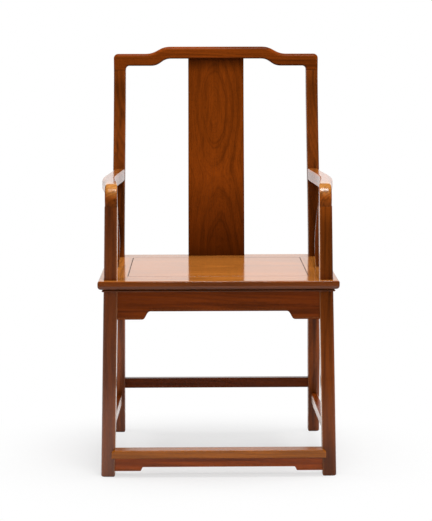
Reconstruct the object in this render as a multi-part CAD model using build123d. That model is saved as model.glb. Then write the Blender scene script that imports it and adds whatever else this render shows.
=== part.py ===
from build123d import *
import os

# Official's hat chair with a raised crest rail: a frame of round-shouldered hardwood
# members joined by mortise and tenon, without nails.
#
# While modelling, +X is to the right of someone who faces the chair, -Y is its front,
# +Z is up, and Y = 0 is the front edge of the seat. All pieces are moved together at
# the end, so that the origin is the middle of the chair's footprint, on the floor.
# All lengths are in millimetres. "Right" is the +X side, and left pieces are mirrored.

# ---------------------------------------------------------------- driving sizes
FIT = 0.15                      # gap round a tenon in its mortise
LET_IN = 5.0                    # how far a tenon's block reaches back into its own piece
OVERSHOOT = 20.0                # how far a cutting prism runs past what it cuts

# Heights
SEAT_HEIGHT = 495.0             # top of the seat above the floor
ARM_ABOVE_SEAT = 237.0          # top of the arm where it meets the back post
CREST_ABOVE_SEAT = 563.0

# Seat frame, seen from above
SEAT_WIDTH = 590.0
SEAT_DEPTH = 442.0
SEAT_THICKNESS = 28.0
FRONT_RAIL_WIDTH = 73.0
SIDE_RAIL_WIDTH = 70.0
REAR_RAIL_WIDTH = 62.0

# Moulded edge of the seat frame: a rounded upper band over a groove and a bead
EDGE_BAND_HEIGHT = 22.0
EDGE_TOP_RADIUS = 4.5
EDGE_BAND_RADIUS = 10.0
EDGE_GROOVE_INSET = 12.0
EDGE_BEAD_INSET = 9.5
EDGE_BEAD_HEIGHT = 4.5
EDGE_BEAD_RADIUS = 2.1
MITRE_TURN = 14.0               # how far in from each edge the mitres run at 45 degrees

# Seat panel, floating in a groove of the frame
PANEL_THICKNESS = 12.0
PANEL_SEAM = 1.0                # open joint round the panel at the top
PANEL_TONGUE_THICKNESS = 6.0
PANEL_TONGUE_REACH = 8.0
PANEL_EDGE_SOFTENING = 0.6

# Battens across the underside of the panel, each with a dovetail key let into it
BATTEN_X = 105.0                # distance of each batten from the middle
BATTEN_WIDTH = 28.0
BATTEN_HEIGHT = 14.0
BATTEN_KEY_HEIGHT = 4.0
BATTEN_KEY_ROOT = 18.0
BATTEN_KEY_TOP = 22.0
BATTEN_TENON = 14.0
BATTEN_TENON_WIDTH = 20.0
BATTEN_TENON_HEIGHT = 8.0
BATTEN_TENON_RISE = 1.0         # above the underside of the batten

# Tenons of the front and rear rails in the side rails, behind the mitres
CORNER_TENON_REACH = 30.0
CORNER_TENON_WIDTH = 9.0
CORNER_TENON_HEIGHT = 6.0
CORNER_TENON_RISE = 7.0         # above the underside of the frame
CORNER_TENON_INSET = 2.5        # from the inner edge of the rail

# Section of legs and posts: rounded on the outside, nearly square on the inside
OUTER_RADIUS = 10.0
INNER_RADIUS = 3.0
SHOULDER = 1.0                  # step round each leg that carries the seat frame
FOOT_SOFTENING = 2.0            # worn edge round the foot of each leg

# Front posts: leg and arm post in one piece. Insets are from the edges of the seat.
FRONT_LEG_SIZE = 34.5
FRONT_POST_SIDE_INSET = 13.0
FRONT_POST_FACE_INSET = 15.0
FRONT_LEG_SPLAY_SIDE = 12.0
FRONT_LEG_SPLAY_FRONT = 7.0
ARM_POST_TOP_WIDTH = 31.5
ARM_POST_TOP_DEPTH = 28.0
ARM_POST_LEAN_IN = 3.0
ARM_POST_LEAN_BACK = 1.0
ARM_POST_TENON = 24.0
ARM_POST_TENON_SIZE = 12.0

# Back posts: leg and back upright in one piece
BACK_LEG_HEAD_WIDTH = 34.5
BACK_LEG_FOOT_WIDTH = 31.0
BACK_LEG_DEPTH = 32.0
BACK_POST_SIDE_INSET = 11.8
BACK_POST_REAR_INSET = 17.0
BACK_LEG_SPLAY_SIDE = 6.0
BACK_LEG_SPLAY_REAR = 21.0
BACK_POST_TOP_WIDTH = 32.0
BACK_POST_LEAN_IN = 6.0
BACK_POST_SWEEP = 62.0          # how far the uprights sweep back to the crest rail
BACK_POST_TENON = 26.0
BACK_POST_TENON_SIZE = 13.0

# Crest rail, seen from the front
CREST_HEIGHT = 32.0
CREST_RISE = 19.0               # how far the middle stands above the ends
CREST_SEAM_DROP = 12.0          # from the ends' underside down to the seams on the posts
CREST_TOP_STEP = (191.0, 122.0)     # half widths where the top starts and stops rising
CREST_UNDER_STEP = (175.0, 121.0)   # the same for the underside
CREST_CORNER_RADIUS = 12.0
CREST_INNER_CORNER_RADIUS = 10.0
CREST_TOP_SOFTENING = 9.5
CREST_UNDER_SOFTENING = 4.0

# Back splat
SPLAT_WIDTH_BOTTOM = 152.5
SPLAT_WIDTH_TOP = 149.7
SPLAT_THICKNESS = 11.0
SPLAT_SETBACK = 21.0            # behind the faces of the back posts, at the seat
SPLAT_TONGUE_THICKNESS = 7.0
SPLAT_TONGUE = 10.0
SPLAT_TONGUE_INSET = 6.0
SPLAT_EDGE_RADIUS = 1.5

# Arms: bowed in plan, turned down at the front over the arm posts
ARM_THICKNESS = 31.0
ARM_FALL = 4.0                  # from the back post down to the corner at its front
ARM_FRONT_WIDTH = 30.5
ARM_BOW = 16.5                  # how far the arm swings out past its front end
ARM_BOW_REACH = 168.0           # from the arm's front back to its widest place
ARM_BOW_WIDTH = 32.0
ARM_REAR_WIDTH = 30.0
ARM_REAR_TURN = 0.03            # slope of the arm in plan where it meets the back post
ARM_ELBOW_DROP = 57.0           # from the arm's top down to the seam on the arm post
ARM_ELBOW_INNER_RADIUS = 11.0
ARM_OUTER_SOFTENING = 8.5
ARM_INNER_SOFTENING = 3.0
ARM_TENON = 14.0
ARM_TENON_WIDTH = 13.0
ARM_TENON_HEIGHT = 16.0

# Curved sticks that carry the middle of the arms
SUPPORT_BEHIND_BOW = 45.0       # behind the widest place of the arm
SUPPORT_FOOT_INSET = 26.5       # from the side edge of the seat
SUPPORT_FOOT_PULL = 11.5        # how strongly the stick leans in from its foot
SUPPORT_HEAD_PULL = 10.5        # and from its head
SUPPORT_FOOT_DIAMETER = 25.0
SUPPORT_HEAD_DIAMETER = 18.0
SUPPORT_TENON = 12.0
SUPPORT_TENON_DIAMETER = 11.0
SUPPORT_SECTIONS = 7

# Aprons under the seat; depths are from the underside of the seat frame
APRON_THICKNESS = 12.0
APRON_RECESS = 3.0              # behind the outer faces of the legs
APRON_TONGUE = 5.0
APRON_TONGUE_THICKNESS = 6.0
APRON_TONGUE_STOP = 10.0        # from the end of the apron to the end of its top tongue
APRON_END_TONGUE = 6.0
APRON_END_TONGUE_INSET = 8.0    # from the apron's top and bottom
APRON_BEAD = 3.2                # width of the raised bead along the lower edge
APRON_BEAD_RELIEF = 1.2
FRONT_APRON_MIDDLE_DEPTH = 49.5
FRONT_APRON_END_DEPTH = 70.0
FRONT_SPANDREL = 59.0           # length of each low end
FRONT_SPANDREL_STEP = 21.0      # length of the curve up to the middle
SIDE_APRON_MIDDLE_DEPTH = 39.0
SIDE_APRON_END_DEPTH = 61.0
SIDE_SPANDREL = 41.5
SIDE_SPANDREL_STEP = 21.0
BACK_APRON_DEPTH = 31.0

# Footrest between the front legs, lapping over their faces
FOOTREST_TOP = 70.0
FOOTREST_HEIGHT = 21.0
FOOTREST_DEPTH = 30.0
FOOTREST_PROUD = 11.5           # in front of the legs' faces
FOOTREST_LAP = 8.5              # over the face of each leg, past its inner side
FOOTREST_SOFTENING = 3.0
FOOTREST_LAP_RADIUS = 8.0       # upper corner of each lapping end
FOOTREST_TENON = 15.0

# Apron under the footrest; depths are from the footrest's underside
FOOT_APRON_THICKNESS = 11.0
FOOT_APRON_MIDDLE_DEPTH = 25.0
FOOT_APRON_END_DEPTH = 35.0
FOOT_SPANDREL = 63.0
FOOT_SPANDREL_STEP = 8.5

# Stretchers, each pair higher than the footrest
SIDE_STRETCHER_TOP = 109.0
SIDE_STRETCHER_HEIGHT = 25.0
SIDE_STRETCHER_WIDTH = 18.0
SIDE_STRETCHER_FRONT_INSET = 12.5   # from the inner side of the front leg
SIDE_STRETCHER_BACK_INSET = 8.0     # from the inner side of the back leg
BACK_STRETCHER_TOP = 153.5
BACK_STRETCHER_HEIGHT = 27.5
BACK_STRETCHER_DEPTH = 20.0
BACK_STRETCHER_INSET = 5.0      # from the front face of the back leg
STRETCHER_SOFTENING = 3.0
STRETCHER_TENON = 14.0
STRETCHER_TENON_THICKNESS = 9.0
STRETCHER_TENON_SHOULDER = 4.0  # above and below the tenon

# ------------------------------------------------------------- places worked out
SEAT_UNDER = SEAT_HEIGHT - SEAT_THICKNESS
SEAT_HALF = SEAT_WIDTH / 2
OPENING_HALF = SEAT_HALF - SIDE_RAIL_WIDTH
OPENING_FRONT = FRONT_RAIL_WIDTH
OPENING_BACK = SEAT_DEPTH - REAR_RAIL_WIDTH
PANEL_UNDER = SEAT_HEIGHT - PANEL_THICKNESS
BATTEN_UNDER = PANEL_UNDER - BATTEN_HEIGHT

# Legs at the underside of the seat, and the narrower necks that pass through it
FRONT_LEG_INNER = SEAT_HALF - FRONT_POST_SIDE_INSET - FRONT_LEG_SIZE
FRONT_LEG_FACE = FRONT_POST_FACE_INSET
FRONT_NECK_INNER = FRONT_LEG_INNER + SHOULDER
FRONT_NECK_FACE = FRONT_LEG_FACE + SHOULDER
FRONT_NECK_SIZE = FRONT_LEG_SIZE - 2 * SHOULDER
BACK_LEG_INNER = SEAT_HALF - BACK_POST_SIDE_INSET - BACK_LEG_HEAD_WIDTH
BACK_LEG_FACE = SEAT_DEPTH - BACK_POST_REAR_INSET - BACK_LEG_DEPTH
BACK_NECK_INNER = BACK_LEG_INNER + SHOULDER
BACK_NECK_FACE = BACK_LEG_FACE + SHOULDER
BACK_NECK_WIDTH = BACK_LEG_HEAD_WIDTH - 2 * SHOULDER
BACK_POST_DEPTH = BACK_LEG_DEPTH - 2 * SHOULDER

# Crest rail over the back posts
CREST_TOP = SEAT_HEIGHT + CREST_ABOVE_SEAT
CREST_UNDER = CREST_TOP - CREST_HEIGHT
CREST_END_TOP = CREST_TOP - CREST_RISE
CREST_END_UNDER = CREST_END_TOP - CREST_HEIGHT
BACK_POST_TOP = CREST_END_UNDER - CREST_SEAM_DROP
BACK_POST_TOP_INNER = BACK_NECK_INNER - BACK_POST_LEAN_IN
CREST_OUTER = BACK_POST_TOP_INNER + BACK_POST_TOP_WIDTH
CREST_FACE = BACK_NECK_FACE + BACK_POST_SWEEP
CREST_MIDDLE_Y = CREST_FACE + BACK_POST_DEPTH / 2
SPLAT_FACE = BACK_NECK_FACE + SPLAT_SETBACK

# Arms over the arm posts
ARM_TOP = SEAT_HEIGHT + ARM_ABOVE_SEAT
ARM_UNDER = ARM_TOP - ARM_THICKNESS
ARM_POST_TOP = ARM_TOP - ARM_ELBOW_DROP
ARM_FRONT_INNER = FRONT_NECK_INNER - ARM_POST_LEAN_IN
ARM_FRONT_FACE = FRONT_NECK_FACE + ARM_POST_LEAN_BACK
ARM_FRONT_OUTER = ARM_FRONT_INNER + ARM_FRONT_WIDTH
ARM_BOW_OUTER = ARM_FRONT_OUTER + ARM_BOW
ARM_BOW_Y = ARM_FRONT_FACE + ARM_BOW_REACH
SUPPORT_Y = ARM_BOW_Y + SUPPORT_BEHIND_BOW
SUPPORT_FOOT_X = SEAT_HALF - SUPPORT_FOOT_INSET
SUPPORT_HEAD_X = ARM_BOW_OUTER - ARM_BOW_WIDTH / 2
SUPPORT_HEAD = ARM_UNDER - ARM_FALL     # below the arm's underside wherever the stick stands

# Lower edges and undersides of aprons and rails
FRONT_APRON_END = SEAT_UNDER - FRONT_APRON_END_DEPTH
SIDE_APRON_END = SEAT_UNDER - SIDE_APRON_END_DEPTH
BACK_APRON_LOW = SEAT_UNDER - BACK_APRON_DEPTH
FOOTREST_UNDER = FOOTREST_TOP - FOOTREST_HEIGHT
SIDE_STRETCHER_UNDER = SIDE_STRETCHER_TOP - SIDE_STRETCHER_HEIGHT
BACK_STRETCHER_UNDER = BACK_STRETCHER_TOP - BACK_STRETCHER_HEIGHT


# ------------------------------------------------------------------ small helpers
def between(low, high, share):
    """Value a share of the way from low to high."""
    return low + (high - low) * share


def centred(middle, size):
    """Pair of limits of a size about a middle."""
    return middle - size / 2, middle + size / 2


def block(xs, ys, zs, grow=0.0):
    """Box between three pairs of limits, widened all round by grow."""
    size = [abs(high - low) + 2 * grow for low, high in (xs, ys, zs)]
    middle = [(low + high) / 2 for low, high in (xs, ys, zs)]
    return Pos(*middle) * Box(*size)


def mirrored(solid):
    """The left-hand twin of a right-hand piece."""
    return mirror(solid, about=Plane.YZ)


def both_sides(solid):
    """A cutter or piece together with its left-hand twin."""
    return solid + mirrored(solid)


def prism(edges, thickness, direction):
    """Solid swept straight from a closed outline of edges."""
    return extrude(make_face(edges), amount=thickness, dir=direction)


def outline_edges(solid, side):
    """Level edges round the top (side 1) or the bottom (side 0) of a solid."""
    return solid.faces().sort_by(Axis.Z)[-side].edges()


def longer_than(solid, length):
    """Edges of a solid over a length, from the smallest X to the largest."""
    return solid.edges().filter_by(lambda edge: edge.length > length).sort_by(Axis.X)


def post_section(inner, face, width, depth, height):
    """Level section of a right-hand leg or post."""
    sketch = Pos(inner + width / 2, face + depth / 2) * Rectangle(width, depth)
    sketch = fillet(sketch.vertices().group_by(Axis.X)[-1], OUTER_RADIUS)
    sketch = fillet(sketch.vertices().group_by(Axis.X)[0], INNER_RADIUS)
    return Pos(0, 0, height) * sketch


def front_inner(height):
    """Inner side of a front leg at a height."""
    return FRONT_LEG_INNER + FRONT_LEG_SPLAY_SIDE * (1 - height / SEAT_UNDER)


def front_face(height):
    """Front face of a front leg at a height."""
    return FRONT_LEG_FACE - FRONT_LEG_SPLAY_FRONT * (1 - height / SEAT_UNDER)


def back_inner(height):
    """Inner side of a back leg at a height."""
    return BACK_LEG_INNER + BACK_LEG_SPLAY_SIDE * (1 - height / SEAT_UNDER)


def back_face(height):
    """Front face of a back leg at a height."""
    return BACK_LEG_FACE + BACK_LEG_SPLAY_REAR * (1 - height / SEAT_UNDER)


def back_post_face(height):
    """Front face of a back upright at a height above the seat."""
    share = (height - SEAT_HEIGHT) / (BACK_POST_TOP - SEAT_HEIGHT)
    return between(BACK_NECK_FACE, CREST_FACE, share * share * (3 - 2 * share))


def back_post_inner(height):
    """Inner side of a back upright at a height above the seat."""
    share = (height - SEAT_HEIGHT) / (BACK_POST_TOP - SEAT_HEIGHT)
    return between(BACK_NECK_INNER, BACK_POST_TOP_INNER, share)


def swept_line(low_y, high_y, high_z):
    """S-curve in the plane x = 0, up from the seat, vertical at both ends."""
    third = (high_z - SEAT_HEIGHT) / 3
    low = [(0, low_y, SEAT_HEIGHT), (0, low_y, SEAT_HEIGHT + third)]
    high = [(0, high_y, high_z - third), (0, high_y, high_z)]
    return Bezier(*low, *high)


def swept_bar(face_low, face_high, depth, top, outline):
    """Upright bar that sweeps backwards, cut to an outline seen from the front."""
    side = make_face([
        swept_line(face_low, face_high, top),
        Line((0, face_high, top), (0, face_high + depth, top)),
        swept_line(face_low + depth, face_high + depth, top),
        Line((0, face_low + depth, SEAT_HEIGHT), (0, face_low, SEAT_HEIGHT)),
    ])
    slab = extrude(side, amount=SEAT_WIDTH, dir=(1, 0, 0), both=True)
    front = Polyline(*[(x, 0, z) for x, z in outline], close=True)
    return slab & prism(front.edges(), face_high + depth + OVERSHOOT, (0, 1, 0))


# ------------------------------------------------------------------ tenon blocks
# Each is three pairs of limits, for x, y and z. The tenon is that block, and its
# mortise is the same block grown by FIT.
def arm_post_tenon():
    return (
        centred(ARM_FRONT_INNER + ARM_POST_TOP_WIDTH / 2, ARM_POST_TENON_SIZE),
        centred(ARM_FRONT_FACE + ARM_POST_TOP_DEPTH / 2, ARM_POST_TENON_SIZE),
        (ARM_POST_TOP - LET_IN, ARM_POST_TOP + ARM_POST_TENON),
    )


def back_post_tenon():
    return (
        centred(BACK_POST_TOP_INNER + BACK_POST_TOP_WIDTH / 2, BACK_POST_TENON_SIZE),
        centred(CREST_MIDDLE_Y, BACK_POST_TENON_SIZE),
        (BACK_POST_TOP - LET_IN, BACK_POST_TOP + BACK_POST_TENON),
    )


def arm_rear_tenon():
    middle = ARM_UNDER + ARM_THICKNESS / 2
    face = back_post_face(middle)
    return (
        centred(back_post_inner(middle) + ARM_REAR_WIDTH / 2, ARM_TENON_WIDTH),
        (face - LET_IN, face + ARM_TENON),
        centred(middle, ARM_TENON_HEIGHT),
    )


def splat_top_tongue():
    return (
        centred(0, SPLAT_WIDTH_TOP - 2 * SPLAT_TONGUE_INSET),
        centred(CREST_MIDDLE_Y, SPLAT_TONGUE_THICKNESS),
        (CREST_UNDER - FIT, CREST_UNDER + SPLAT_TONGUE),
    )


def splat_bottom_tongue():
    return (
        centred(0, SPLAT_WIDTH_BOTTOM - 2 * SPLAT_TONGUE_INSET),
        centred(SPLAT_FACE + SPLAT_THICKNESS / 2, SPLAT_TONGUE_THICKNESS),
        (SEAT_HEIGHT - SPLAT_TONGUE, SEAT_HEIGHT + FIT),
    )


def side_stretcher_ends():
    """Inner side and shoulder of a side stretcher, at the front leg and the back leg."""
    front_x = front_inner(SIDE_STRETCHER_TOP) + SIDE_STRETCHER_FRONT_INSET
    back_x = back_inner(SIDE_STRETCHER_TOP) + SIDE_STRETCHER_BACK_INSET
    front_y = front_face(SIDE_STRETCHER_UNDER) + FRONT_LEG_SIZE
    return (front_x, front_y), (back_x, back_face(SIDE_STRETCHER_UNDER))


def side_stretcher_tenons():
    """Tenons of a side stretcher in the front leg and in the back leg."""
    (front_x, front_y), (back_x, back_y) = side_stretcher_ends()
    zs = (SIDE_STRETCHER_UNDER + STRETCHER_TENON_SHOULDER, SIDE_STRETCHER_TOP - STRETCHER_TENON_SHOULDER)
    front_xs, back_xs = [
        centred(x + SIDE_STRETCHER_WIDTH / 2, STRETCHER_TENON_THICKNESS) for x in (front_x, back_x)
    ]
    front_ys = (front_y - STRETCHER_TENON, front_y + LET_IN)
    back_ys = (back_y - LET_IN, back_y + STRETCHER_TENON)
    return (front_xs, front_ys, zs), (back_xs, back_ys, zs)


def back_stretcher_y():
    face = back_face(BACK_STRETCHER_TOP) + BACK_STRETCHER_INSET
    return face, face + BACK_STRETCHER_DEPTH


def back_stretcher_tenon():
    inner = back_inner(BACK_STRETCHER_UNDER)
    return (
        (inner - LET_IN, inner + STRETCHER_TENON),
        centred(sum(back_stretcher_y()) / 2, STRETCHER_TENON_THICKNESS),
        (BACK_STRETCHER_UNDER + STRETCHER_TENON_SHOULDER, BACK_STRETCHER_TOP - STRETCHER_TENON_SHOULDER),
    )


def footrest_tenon():
    inner = front_inner(FOOTREST_UNDER)
    return (
        (inner - LET_IN, inner + FOOTREST_TENON),
        centred(front_face(FOOTREST_UNDER) + FRONT_LEG_SIZE / 2, STRETCHER_TENON_THICKNESS),
        (FOOTREST_UNDER + STRETCHER_TENON_SHOULDER, FOOTREST_TOP - STRETCHER_TENON_SHOULDER),
    )


def corner_tenons():
    """Tenons of the front rail and the rear rail in the right-hand side rail."""
    xs = (OPENING_HALF - LET_IN, OPENING_HALF + CORNER_TENON_REACH)
    low = SEAT_UNDER + CORNER_TENON_RISE
    zs = (low, low + CORNER_TENON_HEIGHT)
    front = OPENING_FRONT - CORNER_TENON_INSET
    rear = OPENING_BACK + CORNER_TENON_INSET
    return (xs, (front - CORNER_TENON_WIDTH, front), zs), (xs, (rear, rear + CORNER_TENON_WIDTH), zs)


def batten_tenons(x):
    """Tenons of a batten in the front rail and in the rear rail."""
    xs = centred(x, BATTEN_TENON_WIDTH)
    low = BATTEN_UNDER + BATTEN_TENON_RISE
    zs = (low, low + BATTEN_TENON_HEIGHT)
    front = (xs, (OPENING_FRONT - BATTEN_TENON, OPENING_FRONT + LET_IN), zs)
    rear = (xs, (OPENING_BACK - LET_IN, OPENING_BACK + BATTEN_TENON), zs)
    return front, rear


def apron_top_tongue(xs, ys):
    """Tongue of an apron in a groove under the seat frame."""
    return xs, ys, (SEAT_UNDER, SEAT_UNDER + APRON_TONGUE)


def front_apron_tongue():
    half = FRONT_LEG_INNER - APRON_TONGUE_STOP
    return apron_top_tongue((-half, half), centred(sum(front_apron_y()) / 2, APRON_TONGUE_THICKNESS))


def back_apron_tongue():
    half = BACK_LEG_INNER - APRON_TONGUE_STOP
    return apron_top_tongue((-half, half), centred(sum(back_apron_y()) / 2, APRON_TONGUE_THICKNESS))


def side_apron_tongue():
    ys = (OPENING_FRONT + APRON_TONGUE_STOP, OPENING_BACK - APRON_TONGUE_STOP)
    return apron_top_tongue(centred(sum(side_apron_x()) / 2, APRON_TONGUE_THICKNESS), ys)


def end_tongue_z(apron_end):
    """Heights of the tongues at the ends of an apron."""
    return apron_end + APRON_END_TONGUE_INSET, SEAT_UNDER - APRON_END_TONGUE_INSET


def front_apron_end_tongue():
    inner = front_inner(FRONT_APRON_END)
    ys = centred(sum(front_apron_y()) / 2, APRON_TONGUE_THICKNESS)
    return (inner - LET_IN, inner + APRON_END_TONGUE), ys, end_tongue_z(FRONT_APRON_END)


def back_apron_end_tongue():
    inner = back_inner(BACK_APRON_LOW)
    ys = centred(sum(back_apron_y()) / 2, APRON_TONGUE_THICKNESS)
    return (inner - LET_IN, inner + APRON_END_TONGUE), ys, end_tongue_z(BACK_APRON_LOW)


def side_apron_end_tongues():
    """Tongues of a side apron in the front leg and in the back leg."""
    xs = centred(sum(side_apron_x()) / 2, APRON_TONGUE_THICKNESS)
    zs = end_tongue_z(SIDE_APRON_END)
    back_of_leg = front_face(SIDE_APRON_END) + FRONT_LEG_SIZE
    front = (xs, (back_of_leg - APRON_END_TONGUE, back_of_leg + LET_IN), zs)
    back = (xs, (BACK_LEG_FACE - LET_IN, back_face(SIDE_APRON_END) + APRON_END_TONGUE), zs)
    return front, back


# -------------------------------------------------------------------------- posts
def front_post():
    """Right-hand front leg and arm post in one piece, without its mortises."""
    size = FRONT_LEG_SIZE
    leg = loft([
        post_section(front_inner(0), front_face(0), size, size, 0),
        post_section(FRONT_LEG_INNER, FRONT_LEG_FACE, size, size, SEAT_UNDER),
    ], ruled=True)
    leg = chamfer(outline_edges(leg, 0), FOOT_SOFTENING)
    neck_size = FRONT_NECK_SIZE
    neck_section = post_section(FRONT_NECK_INNER, FRONT_NECK_FACE, neck_size, neck_size, SEAT_UNDER)
    neck = extrude(neck_section, amount=SEAT_THICKNESS)
    post = loft([
        Pos(0, 0, SEAT_THICKNESS) * neck_section,
        post_section(ARM_FRONT_INNER, ARM_FRONT_FACE, ARM_POST_TOP_WIDTH, ARM_POST_TOP_DEPTH, ARM_POST_TOP),
    ], ruled=True)
    return leg + neck + post + block(*arm_post_tenon())


def back_post():
    """Right-hand back leg and upright in one piece, without its mortises."""
    leg = loft([
        post_section(back_inner(0), back_face(0), BACK_LEG_FOOT_WIDTH, BACK_LEG_DEPTH, 0),
        post_section(BACK_LEG_INNER, BACK_LEG_FACE, BACK_LEG_HEAD_WIDTH, BACK_LEG_DEPTH, SEAT_UNDER),
    ], ruled=True)
    leg = chamfer(outline_edges(leg, 0), FOOT_SOFTENING)
    neck = extrude(
        post_section(BACK_NECK_INNER, BACK_NECK_FACE, BACK_NECK_WIDTH, BACK_POST_DEPTH, SEAT_UNDER),
        amount=SEAT_THICKNESS,
    )
    upright = swept_bar(BACK_NECK_FACE, CREST_FACE, BACK_POST_DEPTH, BACK_POST_TOP, [
        (BACK_NECK_INNER, SEAT_HEIGHT),
        (BACK_NECK_INNER + BACK_NECK_WIDTH, SEAT_HEIGHT),
        (CREST_OUTER, BACK_POST_TOP),
        (BACK_POST_TOP_INNER, BACK_POST_TOP),
    ])
    half_length = (BACK_POST_TOP - SEAT_HEIGHT) / 2
    upright = fillet(longer_than(upright, half_length)[2:], OUTER_RADIUS)
    upright = fillet(longer_than(upright, half_length)[:2], INNER_RADIUS)
    return leg + neck + upright + block(*back_post_tenon())


def mortised(post, tenons):
    """A post with a mortise for each tenon block."""
    for tenon in tenons:
        post -= block(*tenon, grow=FIT)
    return post


# --------------------------------------------------------------------- crest rail
def crest_line(corner, radius, step, end_height, middle_height):
    """Upper or lower line of the crest rail, from one seam round to the other."""
    y = CREST_FACE
    edges = [Line((-step[1], y, middle_height), (step[1], y, middle_height))]
    for side in (1, -1):
        start, stop = [side * x for x in step]
        pull = (start + stop) / 2
        elbow = [(side * corner, y, BACK_POST_TOP), (side * corner, y, end_height), (start, y, end_height)]
        edges += FilletPolyline(*elbow, radius=radius).edges()
        foot = [(start, y, end_height), (pull, y, end_height)]
        head = [(pull, y, middle_height), (stop, y, middle_height)]
        edges += [Bezier(*foot, *head)]
    return edges


def round_rail(rail, line, radius):
    """Round the front and back copies of one line of the crest rail."""
    middles = [edge @ 0.5 for edge in line]
    middles += [point + Vector(0, BACK_POST_DEPTH, 0) for point in middles]
    chosen = [edge for edge in rail.edges() if any((edge @ 0.5 - point).length < FIT for point in middles)]
    return fillet(chosen, radius)


def crest_rail():
    """Rail with a raised middle, its ends turned down over the back posts."""
    upper = crest_line(CREST_OUTER, CREST_CORNER_RADIUS, CREST_TOP_STEP, CREST_END_TOP, CREST_TOP)
    lower = crest_line(
        BACK_POST_TOP_INNER, CREST_INNER_CORNER_RADIUS, CREST_UNDER_STEP, CREST_END_UNDER, CREST_UNDER
    )
    ends = (CREST_OUTER, BACK_POST_TOP_INNER)
    seams = [Line(*[(side * x, CREST_FACE, BACK_POST_TOP) for x in ends]) for side in (1, -1)]
    rail = prism(upper + lower + seams, BACK_POST_DEPTH, (0, 1, 0))
    rail = round_rail(rail, upper, CREST_TOP_SOFTENING)
    rail = round_rail(rail, lower, CREST_UNDER_SOFTENING)
    rail -= both_sides(block(*back_post_tenon(), grow=FIT))
    return rail - block(*splat_top_tongue(), grow=FIT)


# -------------------------------------------------------------------------- splat
def back_splat():
    """Single board that follows the sweep of the uprights."""
    board = swept_bar(SPLAT_FACE, CREST_MIDDLE_Y - SPLAT_THICKNESS / 2, SPLAT_THICKNESS, CREST_UNDER, [
        (-SPLAT_WIDTH_BOTTOM / 2, SEAT_HEIGHT),
        (SPLAT_WIDTH_BOTTOM / 2, SEAT_HEIGHT),
        (SPLAT_WIDTH_TOP / 2, CREST_UNDER),
        (-SPLAT_WIDTH_TOP / 2, CREST_UNDER),
    ])
    board = fillet(longer_than(board, (CREST_UNDER - SEAT_HEIGHT) / 2), SPLAT_EDGE_RADIUS)
    return board + block(*splat_bottom_tongue()) + block(*splat_top_tongue())


# --------------------------------------------------------------------------- arms
def arm_plan_line(front_x, bow_x, rear_x, rear_y):
    """Long edge of the arm seen from above, drawn at the height of the seam."""
    plan = [(front_x, ARM_FRONT_FACE), (bow_x, ARM_BOW_Y), (rear_x, rear_y)]
    points = [(x, y, ARM_POST_TOP) for x, y in plan]
    return Spline(*points, tangents=[(0, 1, 0), (-ARM_REAR_TURN, 1, 0)])


def arm_side_line(front_y, rear_top, rear_y, radius):
    """Upper or lower line of the arm seen from the side, with its elbow."""
    front_top = rear_top - ARM_FALL
    corners = [(0, front_y, ARM_POST_TOP), (0, front_y, front_top), (0, rear_y, rear_top)]
    return FilletPolyline(*corners, radius=radius).edges()


def arm_bar(post):
    """Right-hand arm, bowed outwards, cut to seat on the back post given, without its joints."""
    rear_y = back_post_face(ARM_TOP) + BACK_POST_DEPTH / 3
    rear_inner = back_post_inner(ARM_UNDER)
    rear_outer = rear_inner + ARM_REAR_WIDTH
    plan = prism([
        arm_plan_line(ARM_FRONT_OUTER, ARM_BOW_OUTER, rear_outer, rear_y),
        Line((rear_outer, rear_y, ARM_POST_TOP), (rear_inner, rear_y, ARM_POST_TOP)),
        arm_plan_line(ARM_FRONT_INNER, ARM_BOW_OUTER - ARM_BOW_WIDTH, rear_inner, rear_y),
        Line(*[(x, ARM_FRONT_FACE, ARM_POST_TOP) for x in (ARM_FRONT_INNER, ARM_FRONT_OUTER)]),
    ], ARM_ELBOW_DROP, (0, 0, 1))
    post_back = ARM_FRONT_FACE + ARM_POST_TOP_DEPTH
    side = prism([
        *arm_side_line(ARM_FRONT_FACE, ARM_TOP, rear_y, ARM_ELBOW_INNER_RADIUS + ARM_THICKNESS),
        Line((0, rear_y, ARM_TOP), (0, rear_y, ARM_UNDER)),
        *arm_side_line(post_back, ARM_UNDER, rear_y, ARM_ELBOW_INNER_RADIUS),
        Line((0, post_back, ARM_POST_TOP), (0, ARM_FRONT_FACE, ARM_POST_TOP)),
    ], ARM_BOW_OUTER + OVERSHOOT, (1, 0, 0))
    bar = soften_arm(plan & side, rear_y)
    return (bar - post).solids().sort_by(Axis.Y)[0]


def arm(bar):
    """An arm with its tenon and its mortises."""
    bar += block(*arm_rear_tenon())
    bar -= block(*arm_post_tenon(), grow=FIT)
    return bar - support_tenon(SUPPORT_HEAD, SUPPORT_HEAD_X, FIT)


def soften_arm(bar, rear_y):
    """Round the outer long edges strongly and the inner ones lightly."""
    def is_long(edge):
        middle = edge @ 0.5
        at_end = abs(middle.Y - rear_y) < FIT or abs(middle.Z - ARM_POST_TOP) < FIT
        crosses = edge.length < 1.3 * ARM_FRONT_WIDTH and abs((edge % 0.5).X) > 0.5
        return not (at_end or crosses)

    def is_outer(edge):
        middle = edge @ 0.5
        share = max(1 - abs(middle.Y - ARM_BOW_Y) / (rear_y - ARM_BOW_Y), 0)
        return middle.X > between(ARM_FRONT_OUTER, ARM_BOW_OUTER, share) - ARM_FRONT_WIDTH / 2

    bar = fillet([edge for edge in bar.edges() if is_long(edge) and is_outer(edge)], ARM_OUTER_SOFTENING)
    return fillet([edge for edge in bar.edges() if is_long(edge) and not is_outer(edge)], ARM_INNER_SOFTENING)


# -------------------------------------------------------------------- arm supports
def support_tenon(height, x, grow=0.0):
    """Round tenon of a support, standing up and down from the height of its seam."""
    length = 2 * (SUPPORT_TENON + grow)
    return Pos(x, SUPPORT_Y, height) * Cylinder(SUPPORT_TENON_DIAMETER / 2 + grow, length)


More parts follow.
